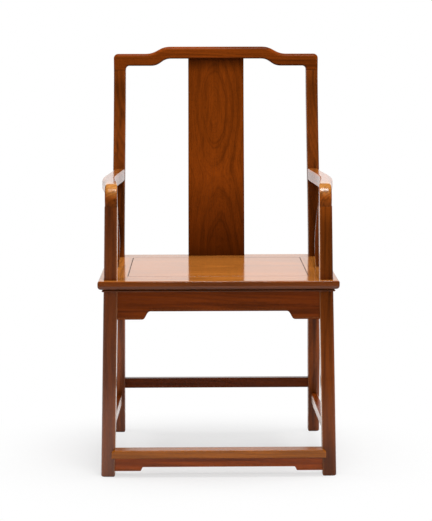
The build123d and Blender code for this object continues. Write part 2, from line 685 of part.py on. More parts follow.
def arm_support(bar):
    """Right-hand curved stick, thick at the foot and thin where it meets the arm given."""
    pulls = (
        SUPPORT_FOOT_X, SUPPORT_FOOT_X - SUPPORT_FOOT_PULL, SUPPORT_HEAD_X - SUPPORT_HEAD_PULL, SUPPORT_HEAD_X
    )
    sections = []
    for index in range(SUPPORT_SECTIONS):
        share = index / (SUPPORT_SECTIONS - 1)
        rest = 1 - share
        weights = (rest ** 3, 3 * rest * rest * share, 3 * rest * share * share, share ** 3)
        x = sum(weight * pull for weight, pull in zip(weights, pulls))
        radius = between(SUPPORT_FOOT_DIAMETER, SUPPORT_HEAD_DIAMETER, share) / 2
        sections.append(Pos(x, SUPPORT_Y, between(SEAT_HEIGHT, ARM_UNDER, share)) * Circle(radius))
    stick = (loft(sections) - bar).solids().sort_by(Axis.Z)[0]
    stick += support_tenon(SEAT_HEIGHT, SUPPORT_FOOT_X)
    return stick + support_tenon(SUPPORT_HEAD, SUPPORT_HEAD_X)


# --------------------------------------------------------------------- seat frame
def rail_section(width):
    """Section of a rail with its moulded edge at the left, measured from that edge."""
    band = Rectangle(width, EDGE_BAND_HEIGHT, align=(Align.MIN, Align.MAX))
    band = fillet(band.vertices().group_by(Axis.X)[0].sort_by(Axis.Y)[1:], EDGE_TOP_RADIUS)
    band = fillet(band.vertices().group_by(Axis.X)[0].sort_by(Axis.Y)[:1], EDGE_BAND_RADIUS)
    bead = Rectangle(width - EDGE_BEAD_INSET, EDGE_BEAD_HEIGHT, align=(Align.MIN, Align.MIN))
    bead = fillet(bead.vertices().group_by(Axis.X)[0], EDGE_BEAD_RADIUS)
    core = Rectangle(width - EDGE_GROOVE_INSET, SEAT_THICKNESS, align=(Align.MIN, Align.MAX))
    return band + Pos(EDGE_BEAD_INSET, -SEAT_THICKNESS) * bead + Pos(EDGE_GROOVE_INSET, 0) * core


def rail_bar(width, turn, middle):
    """Over-long rail: the front rail turned about +Z, its moulded edge at a middle."""
    bar = extrude(Plane.YZ * rail_section(width), amount=SEAT_HALF + OVERSHOOT, both=True)
    return Pos(*middle, SEAT_HEIGHT) * Rot(0, 0, turn) * bar


def post_holes():
    """Holes through the corners of the seat frame for the necks of the four posts."""
    front = post_section(
        FRONT_NECK_INNER - FIT, FRONT_NECK_FACE - FIT, FRONT_NECK_SIZE + 2 * FIT, FRONT_NECK_SIZE + 2 * FIT,
        SEAT_UNDER - OVERSHOOT,
    )
    back = post_section(
        BACK_NECK_INNER - FIT, BACK_NECK_FACE - FIT, BACK_NECK_WIDTH + 2 * FIT, BACK_POST_DEPTH + 2 * FIT,
        SEAT_UNDER - OVERSHOOT,
    )
    length = SEAT_THICKNESS + 2 * OVERSHOOT
    return both_sides(extrude(front, amount=length)) + both_sides(extrude(back, amount=length))


def frame_cuts():
    """Everything that is cut out of the rails: post holes, mortises and grooves."""
    cuts = [panel_tongue(), splat_bottom_tongue(), front_apron_tongue(), back_apron_tongue()]
    for x in (-BATTEN_X, BATTEN_X):
        cuts += batten_tenons(x)
    solids = [block(*cut, grow=FIT) for cut in cuts]
    solids.append(both_sides(support_tenon(SEAT_HEIGHT, SUPPORT_FOOT_X, FIT)))
    solids.append(both_sides(block(*side_apron_tongue(), grow=FIT)))
    solids.append(post_holes())
    return solids


def panel_tongue():
    """Limits of the panel where its tongue runs in the groove of the rails."""
    reach = PANEL_TONGUE_REACH
    return (
        (-OPENING_HALF - reach, OPENING_HALF + reach),
        (OPENING_FRONT - reach, OPENING_BACK + reach),
        (PANEL_UNDER, PANEL_UNDER + PANEL_TONGUE_THICKNESS),
    )


def mitre_prism(points):
    """Upright prism over a plan outline, taller than the seat frame."""
    outline = Polyline(*[(x, y, SEAT_UNDER - OVERSHOOT) for x, y in points], close=True)
    return prism(outline.edges(), SEAT_THICKNESS + 2 * OVERSHOOT, (0, 0, 1))


def seat_rails():
    """Front, rear and right-hand rails, mitred, with tenons on the long rails.

    Each mitre leaves the corner at 45 degrees through the moulding, and then
    turns a little to reach the inner corner between rails of unequal width."""
    turn_x = SEAT_HALF - MITRE_TURN
    front_mitre = [(SEAT_HALF, 0), (turn_x, MITRE_TURN), (OPENING_HALF, OPENING_FRONT)]
    rear_mitre = [(SEAT_HALF, SEAT_DEPTH), (turn_x, SEAT_DEPTH - MITRE_TURN), (OPENING_HALF, OPENING_BACK)]
    front_tenon, rear_tenon = corner_tenons()
    front = rail_bar(FRONT_RAIL_WIDTH, 0, (0, 0))
    front &= mitre_prism(front_mitre + [(-x, y) for x, y in reversed(front_mitre)])
    rear = rail_bar(REAR_RAIL_WIDTH, 180, (0, SEAT_DEPTH))
    rear &= mitre_prism(rear_mitre + [(-x, y) for x, y in reversed(rear_mitre)])
    side = rail_bar(SIDE_RAIL_WIDTH, 90, (SEAT_HALF, SEAT_DEPTH / 2))
    side &= mitre_prism(front_mitre + rear_mitre[::-1])
    for cut in frame_cuts():
        front, rear, side = front - cut, rear - cut, side - cut
    side = side - block(*front_tenon, grow=FIT) - block(*rear_tenon, grow=FIT)
    return front + both_sides(block(*front_tenon)), rear + both_sides(block(*rear_tenon)), side


# ----------------------------------------------------------------- panel and battens
def seat_panel():
    """Floating panel, flush with the frame, with a tongue all round."""
    top = block(
        (PANEL_SEAM - OPENING_HALF, OPENING_HALF - PANEL_SEAM),
        (OPENING_FRONT + PANEL_SEAM, OPENING_BACK - PANEL_SEAM),
        (PANEL_UNDER, SEAT_HEIGHT),
    )
    panel = chamfer(outline_edges(top, 1), PANEL_EDGE_SOFTENING) + block(*panel_tongue())
    for x in (-BATTEN_X, BATTEN_X):
        panel -= batten_key(x, FIT)
    return panel


def batten_key(x, grow=0.0):
    """Dovetail key along the top of a batten."""
    root = BATTEN_KEY_ROOT / 2 + grow
    top = BATTEN_KEY_TOP / 2 + grow
    high = PANEL_UNDER + BATTEN_KEY_HEIGHT + grow
    start = OPENING_FRONT + PANEL_TONGUE_REACH - grow
    section = [(-root, PANEL_UNDER), (root, PANEL_UNDER), (top, high), (-top, high)]
    outline = Polyline(*[(x + across, start, z) for across, z in section], close=True)
    length = OPENING_BACK - OPENING_FRONT - 2 * PANEL_TONGUE_REACH + 2 * grow
    return prism(outline.edges(), length, (0, 1, 0))


def seat_batten(x):
    """Cross batten under the panel, tenoned into the front and rear rails."""
    bar = block(centred(x, BATTEN_WIDTH), (OPENING_FRONT, OPENING_BACK), (BATTEN_UNDER, PANEL_UNDER))
    for tenon in batten_tenons(x):
        bar += block(*tenon)
    return bar + batten_key(x)


# -------------------------------------------------------------------------- aprons
def front_apron_y():
    face = FRONT_LEG_FACE + APRON_RECESS
    return face, face + APRON_THICKNESS


def back_apron_y():
    rear = BACK_LEG_FACE + BACK_LEG_DEPTH - APRON_RECESS
    return rear - APRON_THICKNESS, rear


def side_apron_x():
    outer = FRONT_LEG_INNER + FRONT_LEG_SIZE - APRON_RECESS
    return outer - APRON_THICKNESS, outer


def apron_outline(half, top, depths, step):
    """Face of a stepped apron, seen square on: half its length, its top, the depth of
    its middle and ends below that, and where the step ends in the middle and below."""
    middle, end = [top - depth for depth in depths]
    high_at, low_at = step
    pull = (high_at + low_at) / 2
    edges = [Line((-half, top), (half, top)), Line((-high_at, middle), (high_at, middle))]
    for side in (1, -1):
        edges += [
            Line((side * half, top), (side * half, end)),
            Line((side * half, end), (side * low_at, end)),
            Bezier((side * low_at, end), (side * pull, end), (side * pull, middle), (side * high_at, middle)),
        ]
    return make_face(edges)


def stepped_apron(half, top, depths, step, plane, thickness):
    """Stepped board behind a plane, with a raised bead along its lower edge."""
    board = extrude(plane * apron_outline(half, top, depths, step), amount=thickness)
    raised = [depth - APRON_BEAD for depth in depths]
    narrowed = (step[0] - APRON_BEAD / 2, step[1] + APRON_BEAD / 2)
    field = extrude(plane * apron_outline(half, top, raised, narrowed), amount=APRON_BEAD_RELIEF)
    return board - field


def facing_front(face):
    """Plane of a board's front face, with the board's thickness running backwards."""
    return Plane(origin=(0, face, 0), x_dir=(-1, 0, 0), z_dir=(0, 1, 0))


def front_apron(posts):
    """Front apron with spandrel ends, cut to seat between the front posts."""
    low_at = FRONT_LEG_INNER - FRONT_SPANDREL
    board = stepped_apron(
        front_inner(FRONT_APRON_END) + APRON_END_TONGUE, SEAT_UNDER,
        (FRONT_APRON_MIDDLE_DEPTH, FRONT_APRON_END_DEPTH), (low_at - FRONT_SPANDREL_STEP, low_at),
        facing_front(front_apron_y()[0]), APRON_THICKNESS,
    )
    return board - posts + block(*front_apron_tongue()) + both_sides(block(*front_apron_end_tongue()))


def side_apron(front, back):
    """Right-hand apron between a front and a back post."""
    start = FRONT_LEG_FACE + FRONT_LEG_SIZE
    half = (BACK_LEG_FACE - start) / 2
    low_at = half - SIDE_SPANDREL
    outer = side_apron_x()[1]
    plane = Plane(origin=(outer, start + half, 0), x_dir=(0, -1, 0), z_dir=(-1, 0, 0))
    board = stepped_apron(
        half + OUTER_RADIUS, SEAT_UNDER, (SIDE_APRON_MIDDLE_DEPTH, SIDE_APRON_END_DEPTH),
        (low_at - SIDE_SPANDREL_STEP, low_at), plane, APRON_THICKNESS,
    )
    board = board - front - back + block(*side_apron_tongue())
    for tongue in side_apron_end_tongues():
        board += block(*tongue)
    return board


def back_apron(posts):
    """Plain apron between the back posts."""
    half = back_inner(BACK_APRON_LOW) + APRON_END_TONGUE
    board = block((-half, half), back_apron_y(), (BACK_APRON_LOW, SEAT_UNDER)) - posts
    return board + block(*back_apron_tongue()) + both_sides(block(*back_apron_end_tongue()))


# ------------------------------------------------------- footrest and stretchers
def foot_apron_face():
    return front_face(FOOTREST_UNDER) + APRON_RECESS


def foot_apron_tongue():
    """Tongue of the footrest's apron in a groove under the footrest."""
    half = front_inner(FOOTREST_UNDER) - APRON_TONGUE_STOP
    ys = centred(foot_apron_face() + FOOT_APRON_THICKNESS / 2, APRON_TONGUE_THICKNESS)
    return (-half, half), ys, (FOOTREST_UNDER, FOOTREST_UNDER + APRON_TONGUE)


def footrest(posts):
    """Board between the front legs whose front lip laps over their faces."""
    half = front_inner(FOOTREST_TOP) + FOOTREST_LAP
    face = front_face(FOOTREST_TOP) - FOOTREST_PROUD
    board = block((-half, half), (face, face + FOOTREST_DEPTH), (FOOTREST_UNDER, FOOTREST_TOP))
    board = fillet(board.edges().filter_by(Axis.Y).group_by(Axis.Z)[-1], FOOTREST_LAP_RADIUS)
    board = fillet(board.faces().sort_by(Axis.Y)[0].edges(), FOOTREST_SOFTENING)
    board = (board - posts).solids().sort_by(SortBy.VOLUME)[-1]
    return board + both_sides(block(*footrest_tenon())) - block(*foot_apron_tongue(), grow=FIT)


def footrest_apron(posts):
    """Stepped apron under the footrest."""
    low_at = front_inner(0) - FOOT_SPANDREL
    board = stepped_apron(
        front_inner(0) + LET_IN, FOOTREST_UNDER, (FOOT_APRON_MIDDLE_DEPTH, FOOT_APRON_END_DEPTH),
        (low_at - FOOT_SPANDREL_STEP, low_at), facing_front(foot_apron_face()), FOOT_APRON_THICKNESS,
    )
    return board - posts + block(*foot_apron_tongue())


def side_stretcher(front, back):
    """Right-hand stretcher from the front leg to the back leg, splayed as they are."""
    (front_x, front_y), (back_x, back_y) = side_stretcher_ends()
    slope = (back_x - front_x) / (back_y - front_y)
    start = front_y - 2 * LET_IN
    stop = back_y + 2 * LET_IN
    start_x = front_x + slope * (start - front_y)
    stop_x = back_x + slope * (stop - back_y)
    outline = Polyline(
        (start_x, start, SIDE_STRETCHER_UNDER),
        (start_x + SIDE_STRETCHER_WIDTH, start, SIDE_STRETCHER_UNDER),
        (stop_x + SIDE_STRETCHER_WIDTH, stop, SIDE_STRETCHER_UNDER),
        (stop_x, stop, SIDE_STRETCHER_UNDER),
        close=True,
    )
    bar = prism(outline.edges(), SIDE_STRETCHER_HEIGHT, (0, 0, 1))
    bar = fillet(longer_than(bar, (stop - start) / 2), STRETCHER_SOFTENING) - front - back
    for tenon in side_stretcher_tenons():
        bar += block(*tenon)
    return bar


def back_stretcher(posts):
    """Stretcher between the back legs."""
    half = back_inner(BACK_STRETCHER_UNDER) + LET_IN
    bar = block((-half, half), back_stretcher_y(), (BACK_STRETCHER_UNDER, BACK_STRETCHER_TOP))
    bar = fillet(bar.edges().filter_by(Axis.X), STRETCHER_SOFTENING) - posts
    return bar + both_sides(block(*back_stretcher_tenon()))


# ------------------------------------------------------------------ the whole chair
def build_chair():
    """Every piece of the chair by name, still in the modelling frame."""
    front = front_post()
    back = back_post()
    fronts = both_sides(front)
    backs = both_sides(back)
    bar = arm_bar(back)
    front_rail, rear_rail, side_rail = seat_rails()
    stretcher_tenons = side_stretcher_tenons()
    apron_tongues = side_apron_end_tongues()
    pieces = {
        "front_right_post": mortised(front, [
            stretcher_tenons[0], apron_tongues[0], footrest_tenon(), front_apron_end_tongue(),
        ]),
        "back_right_post": mortised(back, [
            stretcher_tenons[1], apron_tongues[1], back_stretcher_tenon(), back_apron_end_tongue(),
            arm_rear_tenon(),
        ]),
        "crest_rail": crest_rail(),
        "back_splat": back_splat(),
        "right_arm": arm(bar),
        "right_arm_support": arm_support(bar),
        "seat_front_rail": front_rail,
        "seat_rear_rail": rear_rail,
        "seat_right_rail": side_rail,
        "seat_panel": seat_panel(),
        "right_seat_batten": seat_batten(BATTEN_X),
        "front_apron": front_apron(fronts),
        "back_apron": back_apron(backs),
        "right_apron": side_apron(front, back),
        "footrest": footrest(fronts),
        "footrest_apron": footrest_apron(fronts),
        "right_side_stretcher": side_stretcher(front, back),
        "back_stretcher": back_stretcher(backs),
    }
    for name in list(pieces):
        if "right" in name:
            pieces[name.replace("right", "left")] = mirrored(pieces[name])
    return pieces


def write_pieces(pieces):
    """One STEP file per piece, with the origin under the middle of the chair."""
    chair_front = front_face(FOOTREST_TOP) - FOOTREST_PROUD
    chair_back = CREST_FACE + BACK_POST_DEPTH
    to_origin = Pos(0, -(chair_front + chair_back) / 2, 0)
    os.makedirs("parts", exist_ok=True)
    for name, solid in pieces.items():
        export_step(to_origin * solid, f"parts/{name}.step")


write_pieces(build_chair())
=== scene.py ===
"""Polished hardwood finish, softened joinery and studio for the official hat chair."""

from dataclasses import dataclass
from math import pi, radians

import bmesh
import bpy
from bpy.props import FloatProperty, FloatVectorProperty, PointerProperty
from mathutils import Matrix, Vector


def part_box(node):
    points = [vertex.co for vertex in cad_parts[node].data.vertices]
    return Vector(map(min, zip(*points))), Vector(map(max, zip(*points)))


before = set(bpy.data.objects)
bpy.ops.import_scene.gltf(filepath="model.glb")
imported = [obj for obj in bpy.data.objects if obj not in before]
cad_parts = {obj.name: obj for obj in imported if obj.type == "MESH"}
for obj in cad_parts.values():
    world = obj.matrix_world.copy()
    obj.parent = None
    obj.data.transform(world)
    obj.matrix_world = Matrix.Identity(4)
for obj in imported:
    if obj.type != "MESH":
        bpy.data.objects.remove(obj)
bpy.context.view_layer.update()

bl_info = {
    "name": "Official Hat Chair",
    "version": (1, 0, 0),
    "blender": (4, 5, 0),
    "location": "3D View > Sidebar > Hat Chair",
    "description": "Polished hardwood finish, softened joinery and studio for the official hat chair",
    "category": "Object",
}

MM = 0.001
WHITE = (1.0, 1.0, 1.0, 1.0)


def centre_of(node):
    """Middle of a piece's box."""
    low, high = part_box(node)
    return (low + high) / 2


# ------------------------------------------------------------------ shader helpers
class Number:
    """A number in a shader. Arithmetic on it adds the Math nodes that work it out."""

    def __init__(self, tree, link):
        self.tree = tree
        self.link = link

    def math(self, operation, *others):
        """Result of a Math node on this number and then the others."""
        inputs = dict(enumerate((self, *others)))
        return self.tree.node("ShaderNodeMath", {"operation": operation}, inputs)

    def reflected(self, operation, other):
        """Result of a Math node on another number and then this one."""
        return self.tree.node("ShaderNodeMath", {"operation": operation}, {0: other, 1: self})

    def __add__(self, other):
        return self.math("ADD", other)

    def __radd__(self, other):
        return self.math("ADD", other)

    def __sub__(self, other):
        return self.math("SUBTRACT", other)

    def __rsub__(self, other):
        return self.reflected("SUBTRACT", other)

    def __mul__(self, other):
        return self.math("MULTIPLY", other)

    def __rmul__(self, other):
        return self.math("MULTIPLY", other)

    def __truediv__(self, other):
        return self.math("DIVIDE", other)

    def __rtruediv__(self, other):
        return self.reflected("DIVIDE", other)

    def __pow__(self, other):
        return self.math("POWER", other)

    def __neg__(self):
        return self * -1.0


class Tree:
    """The nodes of one material or world."""

    def __init__(self, owner):
        owner.use_nodes = True
        self.nodes = owner.node_tree.nodes
        self.links = owner.node_tree.links
        self.nodes.clear()

    def node(self, kind, settings=None, sockets=None, output=0):
        """Add a node: its settings first, then the values or links of its sockets."""
        new = self.nodes.new(kind)
        for name, value in (settings or {}).items():
            setattr(new, name, value)
        for name, value in (sockets or {}).items():
            if isinstance(value, Number):
                self.links.new(value.link, new.inputs[name])
            else:
                new.inputs[name].default_value = value
        return Number(self, new.outputs[output]) if len(new.outputs) else new

    def mix(self, share, low, high, blend="MIX"):
        """Blend two colours."""
        settings = {"data_type": "RGBA", "blend_type": blend}
        return self.node("ShaderNodeMix", settings, {0: share, 6: low, 7: high}, output=2)

    def step(self, value, low, high):
        """0 below low, 1 above high and smooth between them."""
        sockets = {0: value, 1: low, 2: high, 3: 0.0, 4: 1.0}
        return self.node("ShaderNodeMapRange", {"interpolation_type": "SMOOTHSTEP"}, sockets)

    def noise(self, place, scale=1.0, detail=2.0, roughness=0.5):
        """Cloudy noise from 0 to 1 at a place."""
        sockets = {"Vector": place, "Scale": scale, "Detail": detail, "Roughness": roughness}
        return self.node("ShaderNodeTexNoise", {}, sockets)

    def noise_line(self, value):
        """Noise from 0 to 1 that changes with one number."""
        settings = {"noise_dimensions": "1D"}
        return self.node("ShaderNodeTexNoise", settings, {"W": value, "Scale": 1.0, "Detail": 1.0})

    def levels(self, value, stops):
        """Level that passes smoothly from each (place, level) stop to the next as the value grows."""
        level = stops[0][1]
        for (low, before), (high, after) in zip(stops, stops[1:]):
            level = self.step(value, low, high) * (after - before) + level
        return level

    def scaled(self, place, factors):
        """A place with its three coordinates scaled."""
        return self.node("ShaderNodeVectorMath", {"operation": "MULTIPLY"}, {0: place, 1: factors})

    def parts(self, place):
        """The three coordinates of a place."""
        split = self.node("ShaderNodeSeparateXYZ", {}, {0: place})
        outputs = split.link.node.outputs
        return [Number(self, output) for output in outputs]


# ------------------------------------------------------------------------ the wood
EDGE_SOFTENING = 0.7 * MM       # every edge is eased a little by hand
ARRIS_REACH = 5 * MM            # scuffing, painted highlight and darkening reach this far from an edge
ARRIS_TURN = (0.02, 0.2)        # how far the eased face turns where an edge's marks start and are full
ARRIS_END = (0.1, 0.4)          # how far it turns along the grain where they fade, as at a joint
UNDER_TURN = (0.05, 0.7)        # how far a face looks down where its painted shade starts and is full
UNDER_END = (0.5, 0.6)          # how far it turns along the grain where that fades
CHEEK_TURN = (0.5, 0.9)         # how far a face looks inwards where the painted pale colour starts and is full
CHEEK_POLISH = 0.95             # weight of the wax coat on faces towards the chair's middle
WORN_AND_LIT = (0.5, 0.2, 0.07)         # pale colour along edges: real scuffing and a painted highlight
BARE_WOOD_SHINE = 0.04          # mirror of the wood below its wax
WAX_INDEX = 1.5                 # refractive index of the wax
BEVEL_SAMPLES = 4
GRAIN_TURN = {"X": (0.0, pi / 2, 0.0), "Y": (-pi / 2, 0.0, 0.0), "Z": (0.0, 0.0, 0.0)}

# Scale of each mark in the wood, per metre across, through and along the grain, and the
# levels of its noise where the mark starts and is full.
FIBRE_SCALE, FIBRE_LIMITS = (260.0, 260.0, 7.0), (0.35, 0.75)
STREAK_SCALE, STREAK_LIMITS = (70.0, 70.0, 1.7), (0.46, 0.72)
PATCH_SCALE, PATCH_LIMITS = (11.0, 11.0, 3.0), (0.3, 0.7)
PORE_SCALE, PORE_LIMITS = (1150.0, 1150.0, 48.0), (0.6, 0.74)
DENT_SCALE, DENT_LIMITS = 85.0, (0.45, 0.65)
RING_SWAY_SCALE, RING_LIMITS = (9.0, 9.0, 2.2), (0.4, 0.68)
RING_SWAY = (16 * MM, 12 * MM)  # how far the growth rings wander across and through the piece
SEED_STEP = (1.0, 0.7, 1.3)     # way in which a seed shifts the marks

# How much each mark darkens the wood where it is full, before the piece's own strength
LINE_DEPTH = 0.55               # growth rings and streaks
FIBRE_DEPTH = 0.2
PORE_DEPTH = 0.36
DENT_DEPTH = 0.35
PATCH_SWING = 0.3               # between the darkest and the lightest patch

# Height of the marks in the wood's surface, and their roughness
RELIEF = 0.15 * MM
RELIEF_STRENGTH = 0.35
FIBRE_RELIEF = 0.35
PORE_RELIEF = 0.6
DENT_RELIEF = 40.0
FIBRE_ROUGHNESS = 0.08
PATCH_ROUGHNESS = 0.05


@dataclass
class Wood:
    """How one piece is cut, coloured and polished.

    Stops are (place, level) pairs. Those of tones and polish go by height above the floor,
    and those of reach by distance in front of the chair's middle, all in metres."""

    body: tuple                     # colour
    top: tuple = None               # colour where it faces upwards, paler from wear and light
    grain: str = "Z"                # axis that its fibres run along
    pith: tuple = (0.05, 0.03)      # middle of the growth rings, across and through from its own middle
    pitch: float = 0.006            # spacing of the growth rings
    slope: float = 0.03             # how fast the rings shift along the grain
    rings: float = 0.35             # strength of the rings
    streaks: float = 0.45           # strength of the dark streaks
    patches: float = 0.5            # strength of the cloudy patches
    roughness: float = 0.25
    polish: object = 0.3            # weight of the wax coat on upright faces, one number or stops
    gloss: float = 0.6              # weight of the wax coat on faces that look up
    tones: tuple = None             # stops of painted light and shade that make it lighter or darker
    reach: tuple = None             # stops of how much of the top colour shows
    level_top: tuple = (0.2, 0.8)   # how far a face looks up where the top colour starts and is full
    cheek: tuple = None             # colour of faces towards the chair's middle where it differs: painted paler for the side light and reflections they catch
    wear_and_sheen: float = 0.35              # share of pale colour along its edges, part scuffing and part painted highlight
    rim: float = 0.0                # how much its edges are darkened and the wax on them thinned
    underside_shade: float = 0.35             # strength of the shade painted on faces that look down
    dents: float = 0.1              # strength of the small dents
    seed: float = 0.0               # shift of the marks, so that like pieces differ


def rgba(colour):
    """Colour with full alpha."""
    return (*colour, 1.0)


def shaded(colour, level):
    """Colour made lighter or darker."""
    return tuple(channel * level for channel in colour)


def grain_place(tree, wood, centre):
    """Coordinates about a piece's middle whose Z runs along its grain."""
    place = tree.node("ShaderNodeTexCoord", output="Object")
    return tree.node(
        "ShaderNodeMapping", {"vector_type": "TEXTURE"},
        {"Vector": place, "Location": tuple(centre), "Rotation": GRAIN_TURN[wood.grain]},
    )


def shifted(tree, place, seed):
    """A place moved along so that like pieces don't share one pattern."""
    shift = tuple(seed * step for step in SEED_STEP)
    return tree.node("ShaderNodeVectorMath", {"operation": "ADD"}, {0: place, 1: shift})


def eased(tree, radius):
    """Direction that a face looks in, rounded over near its edges."""
    return tree.node("ShaderNodeBevel", {"samples": BEVEL_SAMPLES}, {"Radius": radius})


def ring_lines(tree, wood, place):
    """Growth rings of a straight-grained piece, 0 between the lines and 1 on them."""
    across, through, along = tree.parts(place)
    sway = tree.noise(tree.scaled(place, RING_SWAY_SCALE)) - 0.5
    across = across - wood.pith[0] + sway * RING_SWAY[0]
    through = through - wood.pith[1] + sway * RING_SWAY[1]
    distance = (across * across + through * through) ** 0.5 + along * wood.slope
    return tree.step(tree.noise_line(distance / wood.pitch), *RING_LIMITS)


class Marks:
    """Small marks in a piece's wood, as levels from 0 to 1."""

    def __init__(self, tree, place):
        self.fibre = tree.noise(tree.scaled(place, FIBRE_SCALE), detail=3.0, roughness=0.6)
        self.streak = tree.step(tree.noise(tree.scaled(place, STREAK_SCALE)), *STREAK_LIMITS)
        self.patch = tree.step(tree.noise(tree.scaled(place, PATCH_SCALE)), *PATCH_LIMITS)
        self.pore = tree.step(tree.noise(tree.scaled(place, PORE_SCALE), detail=1.0), *PORE_LIMITS)
        self.dent = tree.noise(place, DENT_SCALE)


class Faces:
    """How near each point is to an edge and which way it looks, as levels from 0 to 1."""

    def __init__(self, tree, wood):
        face = tree.node("ShaderNodeNewGeometry", output="Normal")
        soft = eased(tree, ARRIS_REACH)
        sockets = {0: soft, 1: face}
        likeness = tree.node("ShaderNodeVectorMath", {"operation": "DOT_PRODUCT"}, sockets, "Value")
        facing = tree.parts(soft)
        endwise = facing["XYZ".index(wood.grain)].math("ABSOLUTE")
        self.arris = tree.step(1.0 - likeness, *ARRIS_TURN) * (1.0 - tree.step(endwise, *ARRIS_END))
        # faces that look down, where shade is painted
        self.under = tree.step(-facing[2], *UNDER_TURN) * (1.0 - tree.step(endwise, *UNDER_END))
        self.sideways, _, rise = tree.parts(face)
        self.upward = tree.step(rise, *wood.level_top)


def shade_of(tree, wood, marks, faces, figure):
    """How light the wood is, from its figure, its marks and the shade painted on faces that look down."""
    shade = marks.patch * wood.patches * PATCH_SWING + (1.0 - wood.patches * PATCH_SWING / 2)
    for amount, share in (
        (figure, wood.rings * LINE_DEPTH), (marks.streak, wood.streaks * LINE_DEPTH),
        (tree.step(marks.fibre, *FIBRE_LIMITS), FIBRE_DEPTH), (marks.pore, PORE_DEPTH),
        # painted shade on faces that look down, and darkening along edges
        (faces.under, wood.underside_shade), (faces.arris, wood.rim),
        (tree.step(marks.dent, *DENT_LIMITS), wood.dents * DENT_DEPTH),
    ):
        shade = shade * (1.0 - amount * share)
    return shade


def relief_of(tree, wood, marks):
    """Direction of the surface with its fibres, pores, dents and eased edges."""
    height = marks.fibre * FIBRE_RELIEF - marks.pore * PORE_RELIEF + marks.dent * (wood.dents * DENT_RELIEF)
    return tree.node("ShaderNodeBump", {}, {
        "Strength": RELIEF_STRENGTH, "Distance": RELIEF, "Height": height,
        "Normal": eased(tree, EDGE_SOFTENING),
    })


def wood_material(name, wood, centre, figure):
    """Polished hardwood: figure, fibres, pores and a coat of wax."""
    material = bpy.data.materials.new(name)
    tree = Tree(material)
    plain = grain_place(tree, wood, centre)
    marks = Marks(tree, shifted(tree, plain, wood.seed))
    faces = Faces(tree, wood)
    side, depth, height = tree.parts(tree.node("ShaderNodeTexCoord", output="Object"))
    shade = shade_of(tree, wood, marks, faces, figure(tree, wood, plain))
    # painted light and shade, by height
    if wood.tones:
        shade = shade * tree.levels(height, wood.tones)
    paler = faces.upward if wood.reach is None else faces.upward * tree.levels(-depth, wood.reach)
    colour = tree.mix(paler, rgba(wood.body), rgba(wood.body if wood.top is None else wood.top))
    polish = tree.levels(height, wood.polish) if isinstance(wood.polish, tuple) else wood.polish
    # painted light: faces towards the chair's middle take a paler colour for the side light and reflections
    # they catch
    if wood.cheek is not None:
        inward = tree.step(-faces.sideways * side.math("SIGN"), *CHEEK_TURN)
        colour = tree.mix(inward, colour, rgba(wood.cheek))
        polish = inward * (CHEEK_POLISH - polish) + polish
    colour = tree.mix(1.0, colour, shade, "MULTIPLY")
    # pale edges: scuffing and a painted highlight, kept off faces that look down
    worn_and_lit = faces.arris * (marks.fibre + 0.5) * wood.wear_and_sheen * (1.0 - faces.under)
    roughness = marks.fibre * FIBRE_ROUGHNESS + marks.patch * PATCH_ROUGHNESS
    roughness = roughness + (wood.roughness - (FIBRE_ROUGHNESS + PATCH_ROUGHNESS) / 2)
    shader = tree.node("ShaderNodeBsdfPrincipled", {}, {
        "Base Color": tree.mix(worn_and_lit, colour, rgba(WORN_AND_LIT)),
        "Roughness": roughness,
        "Normal": relief_of(tree, wood, marks), "Specular IOR Level": BARE_WOOD_SHINE,
        "Coat Weight": (faces.upward * (wood.gloss - polish) + polish) * (1.0 - faces.arris * wood.rim),
        "Coat Roughness": wood.roughness, "Coat IOR": WAX_INDEX,
    })
    tree.node("ShaderNodeOutputMaterial", {}, {"Surface": shader})
    return material


def finish(node, wood, name=None, figure=ring_lines):
    """Give a CAD node a wood of its own."""
    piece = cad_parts[node]
    piece.data.materials.clear()
    piece.data.materials.append(wood_material(name or f"{node}_wood", wood, centre_of(node), figure))


# ---------------------------------------------------------------- the figured splat
SPLAT_OVAL_CENTRE = (-5 * MM, 134 * MM)     # across and up from the middle of the board
SPLAT_OVAL_SIZE = (33 * MM, 100 * MM)
SPLAT_TIP_CENTRE = (8 * MM, -340 * MM)
SPLAT_TIP_SIZE = (36 * MM, 170 * MM)
SPLAT_SWAY_SCALE = (16.0, 1.0, 5.0)         # per metre across, through and along the board
SPLAT_SWAY = (20 * MM, 60 * MM)             # how far the loops bend across and along
SPLAT_WANDER_SCALE = (60.0, 1.0, 10.0)
SPLAT_WANDER = 0.22                         # how unsteady the lines are, in oval sizes
SPLAT_JOIN = 0.4                            # softness of the join between loops and flame, in oval sizes
SPLAT_FINE_LOOPS = 14.0                     # irregular fine lines in one oval size
SPLAT_FINE_LIMITS = (0.4, 0.7)
SPLAT_LOOP = 0.5                            # spacing of the strong dark loops, in oval sizes
SPLAT_LOOP_POWER = 1.6                      # how narrow they are
SPLAT_LOOP_START = (0.6, 0.95)              # where they start outside the oval's middle, in oval sizes
SPLAT_LOOP_SIDES = ((-30 * MM, 0.35), (25 * MM, 1.0))     # their strength from one side to the other
SPLAT_LOOP_SHARE = 0.6                      # of the figure, next to the fine lines


